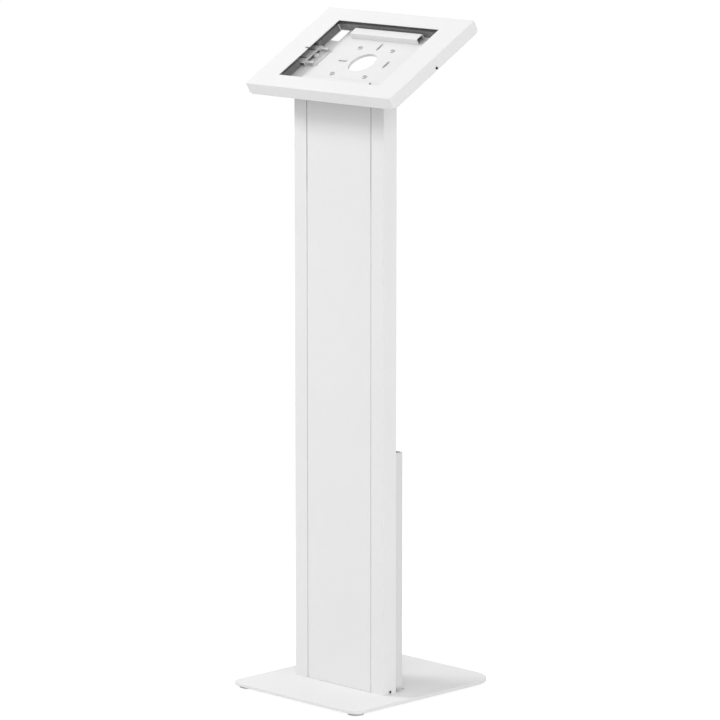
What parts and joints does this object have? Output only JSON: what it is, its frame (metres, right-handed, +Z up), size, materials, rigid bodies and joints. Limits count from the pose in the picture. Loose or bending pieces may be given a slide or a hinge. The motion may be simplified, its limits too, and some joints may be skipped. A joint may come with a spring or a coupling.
{
  "type": "tablet floor stand",
  "caption": "White steel floor stand with a flat base, a flat column with a flush front panel and a tilted tablet enclosure with a rectangular screen window.",
  "frame": {"origin": "on the floor, under the middle of the base plate", "axes": "+X right as seen from the front, +Y to the back, +Z up"},
  "size_m": [0.3404, 0.34, 1.1266],
  "materials": {
    "white_powder_coat": "satin powder coat",
    "zinc_steel": "zinc plated",
    "black_steel": "black oxide",
    "nickel": "nickel plated",
    "black_rubber": "matt",
    "grey_rubber": "matt",
    "dark_foam": "closed-cell foam"
  },
  "bodies": {
    "stand": {"base_plate": "white_powder_coat", "base_foot_front_left": "grey_rubber", "base_foot_front_right": "grey_rubber", "base_foot_rear_left": "grey_rubber", "base_foot_rear_right": "grey_rubber", "seat_plate": "zinc_steel", "seat_bolts": "zinc_steel", "column_shell": "white_powder_coat", "column_side_screws": "zinc_steel", "column_infill": "white_powder_coat", "column_bridge_lower": "zinc_steel", "column_bridge_middle": "zinc_steel", "column_bridge_upper": "zinc_steel", "panel_magnets": "nickel", "cable_grommet_lower": "black_rubber", "cable_grommet_upper": "black_rubber", "cover_standoffs": "zinc_steel", "head_bracket": "white_powder_coat", "spigot_screws": "zinc_steel", "head_tray": "white_powder_coat", "vesa_screws": "zinc_steel", "corner_posts": "white_powder_coat", "tray_rail_front": "white_powder_coat", "tray_rail_rear": "white_powder_coat", "foam_front": "dark_foam", "foam_rear": "dark_foam", "foam_left_front": "dark_foam", "foam_left_middle": "dark_foam", "foam_left_rear": "dark_foam", "foam_right_front": "dark_foam", "foam_right_middle": "dark_foam", "foam_right_rear": "dark_foam", "side_bracket_left": "zinc_steel", "side_bracket_right": "zinc_steel", "side_bracket_screws": "zinc_steel", "frame_lock_screw_left": "black_steel", "frame_lock_screw_right": "black_steel"},
    "front_frame": {"front_frame": "white_powder_coat"},
    "front_panel": {"column_front_panel": "white_powder_coat"},
    "cable_cover": {"rear_cover": "white_powder_coat", "cover_screws": "zinc_steel"}
  },
  "joints": [
    {"name": "frame_lift", "type": "slide", "parent": "stand", "child": "front_frame", "axis": [0, -0.5, 0.866], "range_m": [0, 0.06]},
    {"name": "panel_pull", "type": "slide", "parent": "stand", "child": "front_panel", "axis": [0, -1, 0], "range_m": [0, 0.05]},
    {"name": "cover_pull", "type": "slide", "parent": "stand", "child": "cable_cover", "axis": [0, 1, 0], "range_m": [0, 0.05]}
  ]
}
